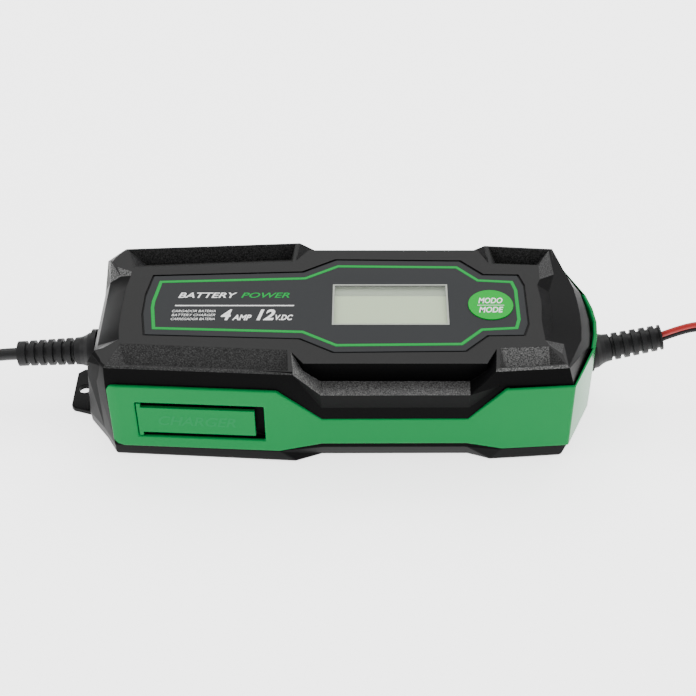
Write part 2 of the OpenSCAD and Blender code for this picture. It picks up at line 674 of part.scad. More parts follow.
module black_clamp_moving_jaw() {
  color(black) place_clamp(black_clamp_pos) mirror([0, 1, 0]) jaw_shell("inner");
}
module black_clamp_pin() {
  color(steel) place_clamp(black_clamp_pos) clamp_pin();
}
module black_clamp_spring() {
  color(steel) place_clamp(black_clamp_pos) clamp_spring();
}
module black_clamp_fixed_contact() {
  color(copper) place_clamp(black_clamp_pos) clamp_contact();
}
module black_clamp_moving_contact() {
  color(copper) place_clamp(black_clamp_pos) mirror([0, 1, 0]) clamp_contact();
}

top_cover();
bottom_cover();
cover_gasket();
side_trim();
belt_clip();
label_sheet();
window_lens();
lcd_panel();
lcd_frame();
mode_key();
key_switch();
display_board();
display_screws();
board_link();
main_board();
transformer_core();
transformer_coil();
bulk_capacitor();
output_capacitors();
filter_capacitor();
mains_fuse();
bridge_rectifier();
switching_transistor();
heat_sink();
output_choke();
output_relay();
mains_wires();
output_wires();
cover_screws();
board_screws();
mains_strain_relief();
output_strain_relief();
mains_lead();
mains_coil();
mains_tie();
plug_body();
plug_pins();
output_lead();
output_coil();
output_tie();
lead_splitter();
red_branch();
black_branch();
red_clamp_fixed_jaw();
red_clamp_moving_jaw();
red_clamp_pin();
red_clamp_spring();
red_clamp_fixed_contact();
red_clamp_moving_contact();
black_clamp_fixed_jaw();
black_clamp_moving_jaw();
black_clamp_pin();
black_clamp_spring();
black_clamp_fixed_contact();
black_clamp_moving_contact();
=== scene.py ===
"""Studio look of the car battery charger, in the part's own frame, in metres."""

import math

import bmesh
import bpy
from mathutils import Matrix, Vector
from mathutils.bvhtree import BVHTree


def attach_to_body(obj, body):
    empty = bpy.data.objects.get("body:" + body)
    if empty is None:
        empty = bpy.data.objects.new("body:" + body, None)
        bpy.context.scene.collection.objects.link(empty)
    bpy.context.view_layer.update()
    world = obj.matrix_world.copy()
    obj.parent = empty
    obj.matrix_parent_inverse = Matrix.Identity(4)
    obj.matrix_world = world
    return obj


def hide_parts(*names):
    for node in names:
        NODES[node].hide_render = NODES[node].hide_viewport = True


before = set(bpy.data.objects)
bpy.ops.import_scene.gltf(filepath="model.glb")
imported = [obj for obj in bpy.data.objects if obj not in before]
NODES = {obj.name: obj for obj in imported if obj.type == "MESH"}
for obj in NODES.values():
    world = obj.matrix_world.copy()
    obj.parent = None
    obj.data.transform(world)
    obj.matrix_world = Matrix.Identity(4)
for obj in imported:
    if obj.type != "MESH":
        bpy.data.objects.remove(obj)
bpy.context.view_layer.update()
MM = 0.001


def mm(*v):
    """A point given in millimetres, as a vector in metres."""
    return Vector(v) * MM


# ---------------------------------------------------------------- camera

# The camera looks along +Y and down, square to the front of the housing
ELEVATION = math.radians(42)
DISTANCE = 0.590
TARGET = mm(11.5, 0, 25)

cam = bpy.data.objects.new("camera", bpy.data.cameras.new("camera"))
bpy.context.scene.collection.objects.link(cam)
cam.location = TARGET + Vector((0, -math.cos(ELEVATION), math.sin(ELEVATION))) * DISTANCE
cam.rotation_euler = (math.pi / 2 - ELEVATION, 0, 0)
cam.data.sensor_width = 36
cam.data.lens = 75.9
cam.data.shift_x = -0.0297
cam.data.shift_y = -0.0027
cam.data.clip_start = 0.01
bpy.context.scene.camera = cam


# ---------------------------------------------------------------- materials

def material(name, color, rough, metallic=0.0, spec=0.5, alpha=1.0):
    """A plain surface: base colour, roughness, metal share, gloss level and opacity."""
    m = bpy.data.materials.new(name)
    m.use_nodes = True
    b = m.node_tree.nodes["Principled BSDF"]
    b.inputs["Base Color"].default_value = (*color, 1)
    b.inputs["Roughness"].default_value = rough
    b.inputs["Metallic"].default_value = metallic
    b.inputs["Specular IOR Level"].default_value = spec
    b.inputs["Alpha"].default_value = alpha
    return m


def add_grain(m, scale, distance, strength=1.0, detail=2.0, speckle=None, edge=0.0):
    """Fine bumps; speckle (dark, light, from, to) mottles the base colour, edge (mm) softens corners."""
    t = m.node_tree
    b = t.nodes["Principled BSDF"]
    where = t.nodes.new("ShaderNodeTexCoord")
    tex = t.nodes.new("ShaderNodeTexNoise")
    tex.inputs["Scale"].default_value = scale
    tex.inputs["Detail"].default_value = detail
    height = tex.outputs[0]
    bump = t.nodes.new("ShaderNodeBump")
    bump.inputs["Strength"].default_value = strength
    bump.inputs["Distance"].default_value = distance
    t.links.new(where.outputs["Object"], tex.inputs["Vector"])
    t.links.new(height, bump.inputs["Height"])
    t.links.new(bump.outputs["Normal"], b.inputs["Normal"])
    if edge:
        corner = t.nodes.new("ShaderNodeBevel")
        corner.samples = 6
        corner.inputs["Radius"].default_value = edge * MM
        t.links.new(corner.outputs["Normal"], bump.inputs["Normal"])
    if speckle:
        ramp = t.nodes.new("ShaderNodeValToRGB")
        ramp.color_ramp.elements[0].position = speckle[2]
        ramp.color_ramp.elements[0].color = (*speckle[0], 1)
        ramp.color_ramp.elements[1].position = speckle[3]
        ramp.color_ramp.elements[1].color = (*speckle[1], 1)
        t.links.new(height, ramp.inputs["Fac"])
        t.links.new(ramp.outputs["Color"], b.inputs["Base Color"])
    return m


# Covers: satin and grained faces, the flat top in a lighter satin copy (painted light), a paler grain copy
# (painted light), the steep faces in a darker satin copy (painted shade) and the inside
SATIN = add_grain(material("shell_satin", (0.0028, 0.0028, 0.0030), 0.36, spec=0.06),
                  2600, 0.00003, 0.35, edge=0.35)
# A lighter copy of the satin for the level top: painted light from above.
PANEL_PAINTED_LIGHT = add_grain(material("panel_satin_painted_light", (0.013, 0.013, 0.013), 0.48, spec=0.12),
                  2600, 0.00003, 0.35, edge=0.35)
GRAIN = add_grain(material("shell_grain", (0.03, 0.03, 0.03), 0.5, spec=0.25), 2100, 0.00016, 0.9, edge=0.2,
                  detail=3.0, speckle=((0.004, 0.004, 0.004), (0.050, 0.050, 0.050), 0.40, 0.70))
# A paler copy of the grain: painted light on the shelf, the left ramp, the back corner and the near faces of
# the right pocket.
GRAIN_PAINTED_LIGHT = add_grain(material("shelf_grain_painted_light", (0.06, 0.06, 0.06), 0.5, spec=0.4), 2100, 0.00018, 1.0,
                       edge=0.2, detail=3.0,
                       speckle=((0.010, 0.010, 0.010), (0.150, 0.150, 0.148), 0.38, 0.68))
# A darker, less glossy copy of the satin for faces that do not look up: painted shade.
SHADE = add_grain(material("shell_side_painted_shade", (0.0018, 0.0018, 0.0019), 0.40, spec=0.015),
                  2600, 0.00003, 0.35, edge=0.35)
INSIDE = material("shell_inside", (0.004, 0.004, 0.004), 0.7, spec=0.1)

# Trim, label, key and display
GREEN = add_grain(material("trim_gloss_green", (0.0, 0.162, 0.038), 0.18, spec=0.05), 300, 0.00002, 0.15)
# A slightly lighter, less glossy green for the flat word on the clip: painted light in place of the light on
# its raised letters.
GREEN_WORD = material("clip_word_green_painted_light", (0.0, 0.170, 0.044), 0.30, spec=0.06)
LABEL = add_grain(material("label_satin", (0.017, 0.0185, 0.020), 0.5, spec=0.13), 3000, 0.00002, 0.3)
LINE_GREEN = material("print_green", (0.0, 0.29, 0.045), 0.5, spec=0.05)
WHITE = material("print_white", (0.80, 0.80, 0.79), 0.5)
KEY_GREEN = material("key_green", (0.0, 0.34, 0.032), 0.40, spec=0.06)
LCD = material("lcd_pale", (0.42, 0.52, 0.32), 0.4, spec=0.2)
# A darker grey-green for the back band of the display: painted shadow of the window's edge.
LCD_PAINTED_SHADOW = material("lcd_painted_shadow", (0.22, 0.27, 0.19), 0.4, spec=0.2)
LENS = material("lens_clear", (0.80, 0.86, 0.76), 0.06, alpha=0.10, spec=0.3)
BEZEL = material("bezel_grey", (0.30, 0.32, 0.28), 0.4, spec=0.3)

# Rubber, leads and clamps
RUBBER = add_grain(material("rubber_black", (0.006, 0.006, 0.0065), 0.5, spec=0.2), 1800, 0.00004, 0.4)
CORD_BLACK = add_grain(material("sheath_black", (0.007, 0.007, 0.0075), 0.42, spec=0.25), 900, 0.00003, 0.3)
CORD_RED = add_grain(material("sheath_red", (0.30, 0.004, 0.003), 0.40, spec=0.4), 900, 0.00003, 0.3)
MOULDED = material("moulded_black", (0.008, 0.008, 0.0085), 0.4, spec=0.25)
CLAMP_RED = add_grain(material("clamp_red", (0.33, 0.003, 0.002), 0.32, spec=0.3), 500, 0.00003, 0.2)
CLAMP_BLACK = add_grain(material("clamp_black", (0.008, 0.008, 0.0085), 0.32, spec=0.3), 500, 0.00003, 0.2)

# Metals and the parts inside the housing
STEEL = material("steel", (0.62, 0.62, 0.63), 0.28, metallic=1.0)
COPPER = add_grain(material("copper", (0.80, 0.42, 0.22), 0.32, metallic=1.0), 1200, 0.00003, 0.4)
NICKEL = material("nickel", (0.74, 0.70, 0.62), 0.22, metallic=1.0)
BOARD = material("board_green", (0.01, 0.13, 0.045), 0.4)
ALU = material("aluminium", (0.7, 0.71, 0.72), 0.35, metallic=1.0)
YELLOW = material("tape_yellow", (0.75, 0.52, 0.04), 0.45)
BLUE = material("sleeve_blue", (0.02, 0.03, 0.16), 0.35)
CERAMIC = material("ceramic", (0.80, 0.79, 0.74), 0.4)
BROWN = material("wire_brown", (0.13, 0.055, 0.03), 0.45)

# CAD pieces that stay as they are, with their material
PLAIN = {
    "cover_gasket": RUBBER, "label_sheet": LABEL, "window_lens": LENS, "lcd_panel": LCD,
    "lcd_frame": BEZEL, "mode_key": KEY_GREEN, "key_switch": MOULDED, "display_board": BOARD,
    "display_screws": STEEL, "board_link": NICKEL, "main_board": BOARD, "transformer_core": MOULDED,
    "transformer_coil": YELLOW, "bulk_capacitor": BLUE, "output_capacitors": BLUE,
    "filter_capacitor": YELLOW, "mains_fuse": CERAMIC, "bridge_rectifier": MOULDED,
    "switching_transistor": MOULDED, "heat_sink": ALU, "output_choke": COPPER, "output_relay": BLUE,
    "mains_wires": BROWN, "output_wires": CORD_RED, "cover_screws": STEEL, "board_screws": STEEL,
    "mains_strain_relief": RUBBER, "output_strain_relief": RUBBER, "mains_tie": MOULDED,
    "output_tie": MOULDED, "plug_body": MOULDED, "plug_pins": NICKEL, "lead_splitter": MOULDED,
    "red_clamp_pin": STEEL, "black_clamp_pin": STEEL, "red_clamp_spring": STEEL,
    "black_clamp_spring": STEEL, "red_clamp_fixed_contact": COPPER, "red_clamp_moving_contact": COPPER,
    "black_clamp_fixed_contact": COPPER, "black_clamp_moving_contact": COPPER,
}
for node_name, mat in PLAIN.items():
    data = NODES[node_name].data
    data.materials.clear()
    data.materials.append(mat)


# ---------------------------------------------------------------- building helpers

def add_mesh(name, verts, faces, mats, face_mats=None):
    """A new flat-shaded mesh object; face_mats gives each face the number of its material."""
    me = bpy.data.meshes.new(name)
    me.from_pydata([tuple(v) for v in verts], [], faces)
    for m in mats if isinstance(mats, (list, tuple)) else [mats]:
        me.materials.append(m)
    if face_mats:
        for p, i in zip(me.polygons, face_mats):
            p.material_index = i
    for p in me.polygons:
        p.use_smooth = False
    me.update()
    ob = bpy.data.objects.new(name, me)
    bpy.context.scene.collection.objects.link(ob)
    return ob


def finish_normals(ob, angle=40):
    """Smooth shading, with the edges sharper than the angle (degrees) kept sharp."""
    for p in ob.data.polygons:
        p.use_smooth = True
    ob.data.set_sharp_from_angle(angle=math.radians(angle))


# Vertices closer than WELD (m) are one, and faces turned less than FLATNESS are one flat face
WELD = 4e-6
FLATNESS = math.radians(0.7)
# Rays start OFF_SURFACE (m) away from their face
OFF_SURFACE = 2e-5
# Folds in degrees: outer edges over ROUNDED_FOLD get a bevel, and others stay
# smooth up to SMOOTH_FOLD; a flat-faceted piece blends only folds under FACET_FOLD
ROUNDED_FOLD = 14
SMOOTH_FOLD = 28
FACET_FOLD = 10
DIRECTIONS = [Vector((x, y, z)).normalized() for x in (-1, 0, 1) for y in (-1, 0, 1) for z in (-1, 0, 1)
              if (x, y, z) != (0, 0, 0)]


def welded_copy(node, mats):
    """The mesh of a CAD piece with the given materials, and its welded editable form."""
    me = NODES[node].data.copy()
    me.materials.clear()
    for m in mats:
        me.materials.append(m)
    bm = bmesh.new()
    bm.from_mesh(me)
    bmesh.ops.remove_doubles(bm, verts=bm.verts, dist=WELD)
    return me, bm


def faces_outwards(face, tree):
    """True where a straight line from the face leaves the piece without meeting it again."""
    start = face.calc_center_median() + face.normal * OFF_SURFACE
    return any(d.dot(face.normal) > 0.05 and tree.ray_cast(start, d)[0] is None
               for d in DIRECTIONS + [face.normal])


def stand_for(node, name, body, me, bm):
    """Turns the edited mesh into the object that replaces a CAD piece."""
    bm.to_mesh(me)
    bm.free()
    ob = bpy.data.objects.new(name, me)
    bpy.context.scene.collection.objects.link(ob)
    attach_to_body(ob, body)
    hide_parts(node)
    return ob


def round_edges(ob, method, width, fold=None):
    """A bevel of the given width in mm, and normals that follow the large faces."""
    bevel = ob.modifiers.new("rounded", "BEVEL")
    bevel.limit_method = method
    if fold is not None:
        bevel.angle_limit = math.radians(fold)
    bevel.width = width * MM
    bevel.segments = 3
    bevel.use_clamp_overlap = False
    normals = ob.modifiers.new("normals", "WEIGHTED_NORMAL")
    normals.weight = 80
    return normals


def shell(node, name, body, width, outside, inside=None, shortest=0.9, all_outer=False):
    """A copy of a CAD piece with its outer edges rounded, if they are longer than shortest (mm)."""
    me, bm = welded_copy(node, [outside, inside] if inside else [outside])
    bmesh.ops.dissolve_limit(bm, angle_limit=FLATNESS, verts=bm.verts, edges=bm.edges)
    bm.normal_update()
    tree = BVHTree.FromBMesh(bm)
    outer = set()
    for f in bm.faces:
        if all_outer or faces_outwards(f, tree):
            outer.add(f.index)
        f.smooth = True
        f.material_index = 1 if inside and f.index not in outer else 0
    weight = bm.edges.layers.float.get("bevel_weight_edge") or bm.edges.layers.float.new("bevel_weight_edge")
    for e in bm.edges:
        if len(e.link_faces) != 2:
            continue
        turn = e.calc_face_angle(0.0)
        rounded = (turn > math.radians(ROUNDED_FOLD) and e.calc_length() > shortest * MM
                   and all(f.index in outer for f in e.link_faces))
        e[weight] = 1.0 if rounded else 0.0
        e.smooth = rounded or turn < math.radians(SMOOTH_FOLD)
    ob = stand_for(node, name, body, me, bm)
    round_edges(ob, "WEIGHT", width).keep_sharp = True


def soften(node, mat, width):
    """Rounds the edges of a CAD piece that stays in the scene, and gives it its finish."""
    ob = NODES[node]
    ob.data.materials.clear()
    ob.data.materials.append(mat)
    weld = ob.modifiers.new("weld", "WELD")
    weld.merge_threshold = WELD
    flatten = ob.modifiers.new("flat", "DECIMATE")
    flatten.decimate_type = "DISSOLVE"
    flatten.angle_limit = FLATNESS
    round_edges(ob, "ANGLE", width, fold=25)


# ---------------------------------------------------------------- cords

def spline(points, steps=4):
    """A smooth line through the points, which it passes in order."""
    out = []
    n = len(points)
    for i in range(n - 1):
        p0, p1, p2, p3 = points[max(i - 1, 0)], points[i], points[i + 1], points[min(i + 2, n - 1)]
        for k in range(steps):
            t = k / steps
            out.append(0.5 * ((2 * p1) + (p2 - p0) * t + (2 * p0 - 5 * p1 + 4 * p2 - p3) * t * t
                              + (3 * p1 - p0 - 3 * p2 + p3) * t ** 3))
    out.append(points[-1])
    return out


def sweep(path, parts, sides=14):
    """Tubes along a path: parts lists (radius, offset along the path's own up)."""
    verts, faces, which = [], [], []
    for index, (radius, lift) in enumerate(parts):
        base = len(verts)
        for i, p in enumerate(path):
            h = (path[min(i + 1, len(path) - 1)] - path[max(i - 1, 0)]).normalized()
            side = h.cross(Vector((0, 0, 1))).normalized()
            up = side.cross(h)
            for k in range(sides):
                a = 2 * math.pi * k / sides
                verts.append(p + up * lift + side * radius * math.cos(a) + up * radius * math.sin(a))
        for i in range(len(path) - 1):
            for k in range(sides):
                a, b = base + i * sides + k, base + i * sides + (k + 1) % sides
                faces.append((a, b, b + sides, a + sides))
                which.append(index)
        faces.append(tuple(base + k for k in range(sides - 1, -1, -1)))
        which.append(index)
        last = base + (len(path) - 1) * sides
        faces.append(tuple(last + k for k in range(sides)))
        which.append(index)
    return verts, faces, which


def wound(centre, start, end, z_top, z_low, r_turn, spacing, clockwise, steps=36):
    """Turns of a coil in mm: from start it winds inwards in the upper layer, drops, and winds out
    below to end."""
    sign = -1 if clockwise else 1
    a0 = math.atan2(start[1] - centre[1], start[0] - centre[0])
    a1 = math.atan2(end[1] - centre[1], end[0] - centre[0])
    r0 = math.hypot(start[0] - centre[0], start[1] - centre[1])
    r1 = math.hypot(end[0] - centre[0], end[1] - centre[1])
    turns_in = (r0 - r_turn) / spacing
    turns_out = (r1 - r_turn) / spacing
    drop = 0.55  # turns taken to sink from the upper layer to the lower one
    total = turns_in + drop + turns_out
    wanted = sign * (a1 - a0) / (2 * math.pi)
    total = wanted + round(total - wanted)
    turns_out = total - turns_in - drop
    count = int(total * steps)
    pts = []
    for i in range(1, count):
        t = total * i / count
        if t < turns_in:
            r = r0 - (r0 - r_turn) * t / turns_in
            z = z_top
        elif t < turns_in + drop:
            s = (t - turns_in) / drop
            r = r_turn
            z = z_top + (z_low - z_top) * (3 * s * s - 2 * s ** 3)
        else:
            s = (t - turns_in - drop) / turns_out
            r = r_turn + (r1 - r_turn) * s
            z = z_low
        a = a0 + sign * 2 * math.pi * t
        pts.append(Vector((centre[0] + r * math.cos(a), centre[1] + r * math.sin(a), z)))
    return pts


# Diameters and routes repeat those of the CAD, in mm
MAINS_D = 5.0
MAINS_ROUTE = [(-129.5, 0, 20.9), (-136, 0, 20.4), (-143, -0.5, 19.6), (-150, -3, 18.2), (-157, -8, 16.2),
               (-164, -14.5, 13.8), (-171, -21, 11.4), (-178, -25, 9.6), (-185, -26.8, 8.6),
               (-192, -26.1, 8.4)]
PLUG_ROUTE = [(-199, -26.6, 3.3), (-208, -27.4, 3.2), (-217, -28.8, 3.4), (-226, -28.5, 4.5),
              (-234, -24, 6.5), (-238, -16, 9.5), (-238.5, -7, 13), (-236, 0.5, 15.6), (-231, 5.5, 16.9),
              (-224, 7.6, 16.6), (-217, 8, 16.2)]
MAINS_COIL = (-197, 9)
TWIN_CORE_R = 1.2
TWIN_CORE_LIFT = 1.13
OUTPUT_ROUTE = [(128.9, 2.6, 27.6), (133, 3.1, 29.2), (137.5, 3.7, 30.6), (142, 4.2, 31.5), (147, 4.3, 31.6),
                (152, 3.7, 30.5), (157, 2.2, 27.8), (161.5, 0, 23.8), (165.5, -2.7, 19.2), (170, -6, 14.8),
                (175.5, -9.3, 11.2), (182, -11.8, 9), (189, -12.6, 8.2)]
SPLIT_ROUTE = [(199, -13.1, 3.2), (204, -14.6, 3), (209, -15.4, 2.8), (214, -14, 2.6), (219, -11, 2.6)]
OUTPUT_COIL = (196, 16)
SINGLE_D = 2.6
RED_ROUTE = [(230, -12.4, 2.2), (236, -12.2, 1.8), (243, -9.5, 1.4), (250, -4.5, 1.4), (257, -3.5, 1.4),
             (262.5, -8, 1.4), (264, -16, 1.4), (263, -25, 1.4), (259, -33, 1.4), (252, -37.5, 1.4),
             (244.5, -36.5, 1.4), (241, -31, 1.5), (241.5, -24.5, 2.2), (240.5, -19.8, 3.8),
             (236.5, -17.6, 5.3), (231.3, -17.3, 6)]
BLACK_ROUTE = [(230, -9.6, 2.2), (235.5, -5, 1.8), (238, 3, 1.4), (240, 12, 1.4), (246.5, 17.5, 1.4),
               (253.5, 15, 1.4), (260, 11, 1.4), (266, 14.5, 1.4), (268, 22, 2.4), (266.5, 29.5, 6.4),
               (263, 34, 12), (258.5, 34.4, 16.4), (253.3, 33.7, 17.25)]


def route(points):
    """Points in millimetres as vectors in metres."""
    return [mm(*p) for p in points]


def make_cord(name, path, parts, mats, node_names,
              sides=14):
    """A cord along a path in place of its CAD nodes: parts are the cores, as sweep takes them."""
    verts, faces, which = sweep(path, parts, sides)
    ob = add_mesh(name, verts, faces, mats, which)
    finish_normals(ob)
    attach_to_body(ob, "housing")
    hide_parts(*node_names)


mains_turns = wound(MAINS_COIL, MAINS_ROUTE[-1], PLUG_ROUTE[0], z_top=8.4, z_low=3.3, r_turn=20.5,
                    spacing=5.05, clockwise=True)
mains_path = spline(route(MAINS_ROUTE)) + [p * MM for p in mains_turns] + spline(route(PLUG_ROUTE))
make_cord("mains_cord", mains_path, [(MAINS_D * MM / 2, 0)], [CORD_BLACK],
          ["mains_lead", "mains_coil"])

output_turns = wound(OUTPUT_COIL, OUTPUT_ROUTE[-1], SPLIT_ROUTE[0], z_top=8.2, z_low=3.2, r_turn=23.9,
                     spacing=2.45, clockwise=False)
output_path = spline(route(OUTPUT_ROUTE)) + [p * MM for p in output_turns] + spline(route(SPLIT_ROUTE))
twin_cores = [(TWIN_CORE_R * MM, TWIN_CORE_LIFT * MM), (TWIN_CORE_R * MM, -TWIN_CORE_LIFT * MM)]
make_cord("output_cord", output_path, twin_cores, [CORD_RED, CORD_BLACK],
          ["output_lead", "output_coil"], sides=12)

for colour, points, mat, finish in (("red", RED_ROUTE, CORD_RED, CLAMP_RED),
                                    ("black", BLACK_ROUTE, CORD_BLACK, CLAMP_BLACK)):
    for jaw in ("fixed_jaw", "moving_jaw"):
        soften(colour + "_clamp_" + jaw, finish, 0.5)
    make_cord(colour + "_branch_cord", spline(route(points)), [(SINGLE_D * MM / 2, 0)], [mat],
              [colour + "_branch"])


# ---------------------------------------------------------------- housing

def faceted(node, name, body, mats, rule):
    """A copy of a CAD piece with its own flat facets and a finish for each."""
    me, bm = welded_copy(node, mats)
    bm.normal_update()
    tree = BVHTree.FromBMesh(bm)
    for f in bm.faces:
        f.smooth = True
        finish = rule(f.calc_center_median() / MM, f.normal, faces_outwards(f, tree))
        f.material_index = mats.index(finish)
    for e in bm.edges:
        e.smooth = len(e.link_faces) == 2 and e.calc_face_angle(0.0) < math.radians(FACET_FOLD)
    stand_for(node, name, body, me, bm)


def top_finish_and_painted_light(c, n, outer):
    """The finish of one face of the top cover, from its middle in mm and its direction: lighter copies of the
    satin and the grain are painted light on faces that catch the light, and a darker copy of the satin is
    painted shade on faces that do not look up.
    """
    x, y, z = c
    side = abs(y)
    level = n.z > 0.98
    behind_clip = z < 37 and abs(n.y) > 0.9 and side < 36 and -80 < x < -25
    on_shelf = level and 37.5 < z < 38.5 and side > 34
    on_left_ramp = -18.2 < x < -6.3 and y < -27 and 0.6 < n.z < 0.95 and n.x > 0.4
    in_pocket = 39.5 < z < 46.95 and 20 < side < 38.5 and 0.2 < n.z < 0.97
    on_back_corner = x < -83 and y > 18 and z > 43.5 and n.z > 0.3
    if not outer or behind_clip:
        return INSIDE
    # Painted light: the level top gets the lighter satin copy.
    if level and z > 46.9:
        return PANEL_PAINTED_LIGHT
    # Painted light: the shelf and the left ramp get the paler grain copy.
    if on_shelf or on_left_ramp:
        return GRAIN_PAINTED_LIGHT
    if in_pocket and -87 < x < -18:
        return GRAIN
    # Painted light: in the right pocket, the near faces that look forward get the paler grain copy.
    if in_pocket and 60.2 < x < 85.5:
        return GRAIN_PAINTED_LIGHT if y < 0 and abs(n.y) > abs(n.x) else GRAIN
    # Painted light on the back corner: the paler grain copy.
    if on_back_corner:
        return GRAIN_PAINTED_LIGHT
    # Painted shade: faces that do not look up get the darker satin copy.
    return SHADE if n.z < 0.15 else SATIN


faceted("top_cover", "top_shell", "housing", [SATIN, GRAIN, INSIDE, PANEL_PAINTED_LIGHT, GRAIN_PAINTED_LIGHT, SHADE], top_finish_and_painted_light)
shell("bottom_cover", "bottom_shell", "housing", 0.4, SATIN, INSIDE)
shell("side_trim", "trim_band", "housing", 0.7, GREEN, shortest=1.5)
shell("belt_clip", "clip_tongue", "clip", 0.25, GREEN, all_outer=True)


# ---------------------------------------------------------------- print and small details

LETTER_SLANT = 0.28


def attach(ob, body="housing"):
    """Lets a piece ride on a body."""
    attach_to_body(ob, body)
    return ob


def flat(name, outline, z, mat, body="housing"):
    """A flat patch with the given outline, in mm: print, or the painted shadow on the display."""
    sheet = add_mesh(name, [mm(x, y, z) for x, y in outline], [tuple(range(len(outline)))], mat)
    return attach(sheet, body)


def strip(name, outline, width, z, mat):
    """A line of the given width inside a closed outline, listed anticlockwise."""
    n = len(outline)
    inner = []
    for i in range(n):
        p = Vector(outline[i])
        before = (p - Vector(outline[i - 1])).normalized()
        after = (Vector(outline[(i + 1) % n]) - p).normalized()
        normal = (Vector((-before.y, before.x)) + Vector((-after.y, after.x))).normalized()
        reach = width / max(0.3, normal.dot(Vector((-before.y, before.x))))
        inner.append(p + normal * reach)
    verts = [mm(p[0], p[1], z) for p in outline] + [mm(p.x, p.y, z) for p in inner]
    faces = [(i, (i + 1) % n, (i + 1) % n + n, i + n) for i in range(n)]
    return attach(add_mesh(name, verts, faces, mat))


def lettering(name, text, left, right, base, cap, place, mat, body="housing", bold=0.014):
    """Flat capitals, as print or as the clip's word in painted light: left, right and base in mm, cap height
    in mm; place maps (x, y) mm to the part.
    """
    curve = bpy.data.curves.new(name + "_curve", "FONT")
    curve.body = text
    curve.shear = LETTER_SLANT
    curve.offset = bold
    curve.resolution_u = 4
    maker = bpy.data.objects.new(name + "_curve", curve)
    bpy.context.scene.collection.objects.link(maker)
    bpy.context.view_layer.update()
    me = bpy.data.meshes.new_from_object(maker.evaluated_get(bpy.context.evaluated_depsgraph_get()))
    bpy.data.objects.remove(maker)
    bpy.data.curves.remove(curve)
    xs = [v.co.x for v in me.vertices]
    ys = [v.co.y for v in me.vertices]
    for v in me.vertices:
        v.co = place(left + (v.co.x - min(xs)) / (max(xs) - min(xs)) * (right - left),
                     base + (v.co.y - min(ys)) / (max(ys) - min(ys)) * cap)
    me.materials.clear()
    me.materials.append(mat)
    me.name = name
    ob = bpy.data.objects.new(name, me)
    bpy.context.scene.collection.objects.link(ob)
    return attach(ob, body)


# Levels of the print: just above the label, the key and the display under its lens
LABEL_Z = 46.93
KEY_Z = 47.33
DISPLAY_Z = 45.34
KEY_X, KEY_Y = 59.3, -0.4
outline_side = [(-73.7, -2), (-71.9, -14.6), (-14.1, -16.8), (-1, -24.5), (47.2, -23.8), (55.4, -15.5),
                (69, -14.5), (70.4, -9)]
strip("label_outline", outline_side + [(x, -y) for x, y in reversed(outline_side)], 1.3, LABEL_Z, LINE_GREEN)
strip("window_border", [(-2.7, -12), (42.7, -12), (42.7, 12.4), (-2.7, 12.4)], 0.7, LABEL_Z + 0.01, BEZEL)
# Painted shadow of the window's back edge, on the display under the lens.
flat("display_painted_shadow", [(-2.4, 7), (42.4, 7), (42.4, 12.1), (-2.4, 12.1)], DISPLAY_Z, LCD_PAINTED_SHADOW)


def on_label(x, y):
    """A point of the label's print, in mm from the middle of the housing."""
    return mm(x, y, LABEL_Z)


def on_key(x, y):
    """A point of the key's print, in mm from the key's middle."""
    return mm(KEY_X + x, KEY_Y + y, KEY_Z)


lettering("print_battery", "BATTERY", -63.6, -40.4, 4.1, 3.2, on_label, WHITE)
lettering("print_power", "POWER", -38.8, -19.7, 4.1, 3.2, on_label, LINE_GREEN)
flat("print_rule", [(-64.4, -0.9), (-17.8, -0.9), (-17.7, -0.3), (-64.3, -0.3)], LABEL_Z, WHITE)
for row, words in enumerate(("CARGADOR BATERIA", "BATTERY CHARGER", "CARREGADOR BATERIA")):
    lettering("print_row_%d" % row, words, -65.2, -48.2, -4.55 - 2.35 * row, 1.35, on_label, WHITE,
              bold=0.0)
lettering("print_four", "4", -46, -41.8, -9.3, 6.4, on_label, WHITE, bold=0.03)
lettering("print_amp", "AMP", -41.5, -34, -9.3, 3.2, on_label, WHITE, bold=0.03)
lettering("print_twelve", "12", -32, -24.9, -9.3, 6.4, on_label, WHITE, bold=0.03)
lettering("print_vdc", "V.DC", -24.7, -17.9, -9.3, 3.2, on_label, WHITE, bold=0.03)
lettering("print_key_upper", "MODO", -4.8, 4.8, 0.7, 3.4, on_key, WHITE, "key", bold=0.024)
lettering("print_key_lower", "MODE", -4.8, 4.8, -4.8, 3.4, on_key, WHITE, "key", bold=0.024)
flat("print_key_rule", [(54, -0.95), (64.6, -0.95), (64.6, -0.7), (54, -0.7)], KEY_Z, WHITE,
     "key")

# The clip's own frame: hinge end, turn and the level of the word on its face
CLIP_X, CLIP_Y = -77.4, -37.95
CLIP_TURN = math.radians(-3.02)
CLIP_WORD_Y = 0.07


def on_clip(x, z):
    """A point on the clip's face, in mm along the clip and up from the ground."""
    return mm(CLIP_X + x * math.cos(CLIP_TURN) - CLIP_WORD_Y * math.sin(CLIP_TURN),
              CLIP_Y + x * math.sin(CLIP_TURN) + CLIP_WORD_Y * math.cos(CLIP_TURN), z)


# The word on the clip is flat; its lighter green is painted light in place of its raised letters.
lettering("clip_word", "CHARGER", 8, 38, 18.6, 5.0, on_clip, GREEN_WORD, "clip", bold=0.02)


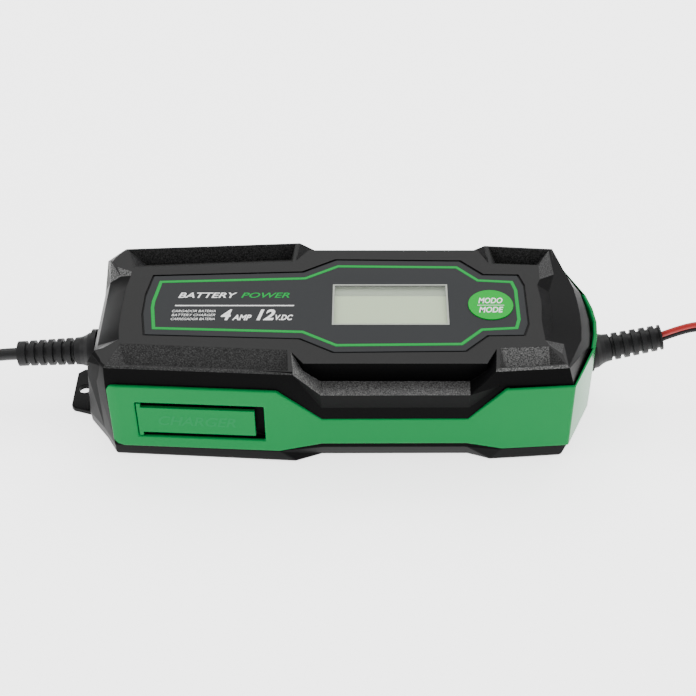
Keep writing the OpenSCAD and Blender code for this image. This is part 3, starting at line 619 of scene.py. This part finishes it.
def bars(name, boxes, mat, body):
    """Small raised bars as one piece: each box is (corner, run, out, height) in mm."""
    verts, faces = [], []
    for corner, run, out, height in boxes:
        c, u, v = Vector(corner), Vector(run), Vector(out)
        w = Vector((0, 0, height))
        if u.cross(v).z < 0:
            u, v = v, u
        base = len(verts)
        verts += [q * MM for q in (c, c + u, c + u + v, c + v, c + w, c + u + w, c + u + v + w, c + v + w)]
        faces += [tuple(base + i for i in f) for f in ((3, 2, 1, 0), (4, 5, 6, 7), (0, 1, 5, 4), (1, 2, 6, 5),
                                                       (2, 3, 7, 6), (3, 0, 4, 7))]
    return attach(add_mesh(name, verts, faces, mat), body)


# Grip bars on the clamps' handles: the outer handle line in the clamp's own frame
HANDLE = [(-8, 8), (-26, 13), (-41, 15)]
BAR_COUNT = 8
BAR_FIRST_X = -12.5
BAR_PITCH = 3.4
BAR_WIDTH = 1.3
BAR_DEPTH = 0.75
BAR_SUNK = 0.25
BAR_HEIGHT = 9.6
BAR_LIFT = 1.2


def handle_bars(colour, pos, mat):
    """Grip bars on both handles of the clamp whose pin stands at pos (mm)."""
    for jaw, turn, body in (("fixed_jaw", 1, "housing"), ("moving_jaw", -1, colour + "_jaw")):
        boxes = []
        for k in range(BAR_COUNT):
            x = BAR_FIRST_X - BAR_PITCH * k
            (x0, y0), (x1, y1) = (HANDLE[0], HANDLE[1]) if x > HANDLE[1][0] else (HANDLE[1], HANDLE[2])
            y = y0 + (y1 - y0) * (x - x0) / (x1 - x0)
            slope = (y1 - y0) / (x1 - x0)
            boxes.append(((pos[0] - x, pos[1] + turn * (y - BAR_SUNK), pos[2] + BAR_LIFT),
                          (BAR_WIDTH, -BAR_WIDTH * turn * slope, 0), (0, BAR_DEPTH * turn, 0), BAR_HEIGHT))
        bars(colour + "_" + jaw + "_grip", boxes, mat, body)


handle_bars("red", (190, -31, 0), CLAMP_RED)
handle_bars("black", (212, 20, 11.25), CLAMP_BLACK)

# Insulating sleeves on the roots of the two plug pins
PIN_Z = 16.22
SLEEVE_R = 2.06
for side, y in (("near", -1.3), ("far", 17.3)):
    verts, faces, which = sweep([mm(x, y, PIN_Z) for x in (-182, -177, -172)], [(SLEEVE_R * MM, 0)], 24)
    sleeve = add_mesh("pin_sleeve_" + side, verts, faces, MOULDED)
    finish_normals(sleeve)
    attach(sleeve)


# ---------------------------------------------------------------- floor, light

def area_light(name, where, size_x, size_y, power):
    """A white rectangular lamp that looks at the middle of the picture."""
    lamp = bpy.data.lights.new(name, "AREA")
    lamp.shape = "RECTANGLE"
    lamp.size = size_x
    lamp.size_y = size_y
    lamp.energy = power
    lamp.color = (1, 1, 1)
    ob = bpy.data.objects.new(name, lamp)
    bpy.context.scene.collection.objects.link(ob)
    ob.location = where
    ob.rotation_euler = (TARGET - Vector(where)).to_track_quat("-Z", "Y").to_euler()


FLOOR_HALF = 14
FLOOR_Z = -0.0005
FLOOR = add_grain(material("floor_white", (0.93, 0.93, 0.93), 0.8, spec=0.1), 40, 0.0001, 0.05)
FLOOR.node_tree.nodes["Principled BSDF"].inputs["Emission Color"].default_value = (1, 1, 1, 1)
FLOOR.node_tree.nodes["Principled BSDF"].inputs["Emission Strength"].default_value = 2.3
floor = add_mesh("floor", [(x * FLOOR_HALF, y * FLOOR_HALF, FLOOR_Z)
                           for x, y in ((-1, -1), (1, -1), (1, 1), (-1, 1))], [(0, 1, 2, 3)], FLOOR)
area_light("softbox_back", (0.1, 1.1, 1.5), 2.2, 1.2, 34)
area_light("softbox_left", (-1.3, -0.1, 0.9), 1.0, 1.4, 13)
area_light("softbox_right", (1.4, 0.1, 0.8), 1.0, 1.4, 17)
area_light("softbox_front", (0.0, -1.6, 0.9), 1.6, 0.8, 4)
world = bpy.data.worlds.new("studio")
bpy.context.scene.world = world
world.use_nodes = True
world.node_tree.nodes["Background"].inputs["Color"].default_value = (1, 1, 1, 1)
world.node_tree.nodes["Background"].inputs["Strength"].default_value = 0.7
